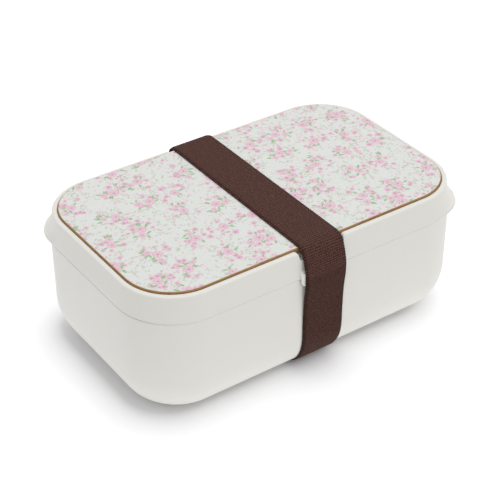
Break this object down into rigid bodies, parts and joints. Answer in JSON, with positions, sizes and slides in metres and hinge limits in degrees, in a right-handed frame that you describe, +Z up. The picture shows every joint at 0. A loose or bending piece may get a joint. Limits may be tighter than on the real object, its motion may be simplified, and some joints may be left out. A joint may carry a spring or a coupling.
{
  "type": "bento lunch box",
  "caption": "Rounded plastic lunch box with a clip-on lid, a floral printed wooden lid panel, a loose divider and a woven elastic band.",
  "frame": {"origin": "on the ground under the middle of the box, at the level of the undersides of the feet", "axes": "+X along the box's length, +Y across its width, +Z up through the lid"},
  "size_m": [0.1858, 0.12, 0.0736],
  "materials": {
    "shell_plastic": "off-white polypropylene with a fine matte grain",
    "divider_plastic": "off-white polypropylene, slightly smoother than the shells",
    "seal_silicone": "translucent white silicone",
    "panel_adhesive": "thin double-sided film",
    "panel_wood": "pressed wood with a bare sawn edge",
    "printed_face": null,
    "woven_elastic": "dark brown woven elastic with raised weft ribs",
    "thread": "dark brown polyester thread"
  },
  "bodies": {
    "tub": {"tub": "shell_plastic", "elastic_band": "woven_elastic", "band_stitches": "thread"},
    "lid": {"lid_shell": "shell_plastic", "lid_seal": "seal_silicone", "panel_adhesive": "panel_adhesive", "lid_panel": "panel_wood", "print_film": "printed_face"},
    "divider": {"divider": "divider_plastic"}
  },
  "joints": [
    {"name": "lid_lift", "type": "slide", "parent": "tub", "child": "lid", "axis": [0, 0, 1], "range_m": [0, 0.08], "deforming": ["elastic_band"]},
    {"name": "divider_slide", "type": "slide", "parent": "tub", "child": "divider", "axis": [1, 0, 0], "range_m": [-0.076, 0.032]}
  ]
}
